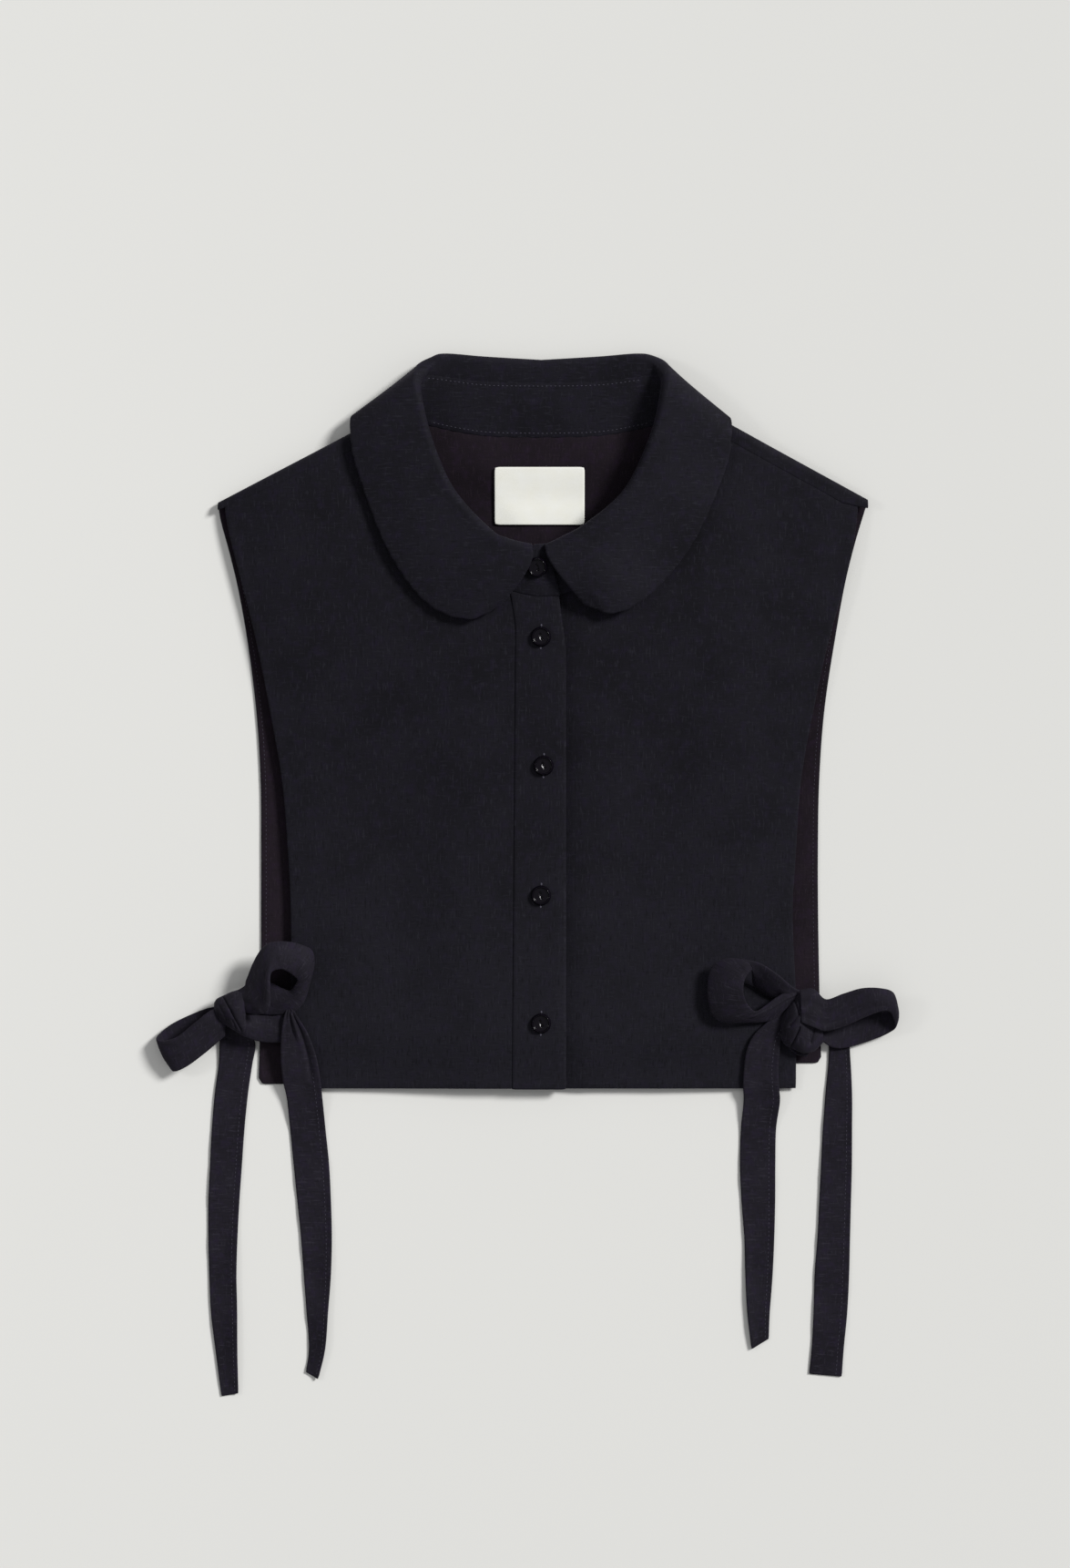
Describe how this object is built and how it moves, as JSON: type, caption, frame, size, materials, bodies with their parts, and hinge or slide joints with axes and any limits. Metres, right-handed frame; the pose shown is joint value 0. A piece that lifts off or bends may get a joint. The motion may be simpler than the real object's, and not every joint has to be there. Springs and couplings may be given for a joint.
{
  "type": "detachable collar",
  "caption": "Sleeveless false shirt front with a rounded fold-down collar, button placket, back panel and side ties in bows, lying flat.",
  "frame": {"origin": "on the resting surface under the back panel, on the garment's centre line, at half the back panel's height", "axes": "+Y from the hem to the neck, +Z out of the front, +X to the viewer's right looking at the front"},
  "size_m": [0.4055, 0.5719, 0.0237],
  "materials": {
    "crepe": "matte black crepe",
    "crepe_inside": "matte black crepe, wrong side",
    "label": "bare off-white satin weave",
    "button": "polished black"
  },
  "bodies": {
    "root": {"back_panel": "crepe_inside", "left_front": "crepe", "right_front": "crepe", "placket": "crepe", "collar_stand": "crepe", "collar_fall": "crepe", "neck_label": "label", "button_1": "button", "button_2": "button", "button_3": "button", "button_4": "button", "button_5": "button", "left_knot": "crepe", "left_upper_loop": "crepe", "left_outer_loop": "crepe", "left_front_tie_root": "crepe", "left_back_tie_root": "crepe", "left_outer_tail": "crepe", "left_inner_tail": "crepe", "right_knot": "crepe", "right_inner_loop": "crepe", "right_outer_loop": "crepe", "right_front_tie_root": "crepe", "right_back_tie_root": "crepe", "right_inner_tail": "crepe", "right_outer_tail": "crepe"}
  },
  "joints": []
}
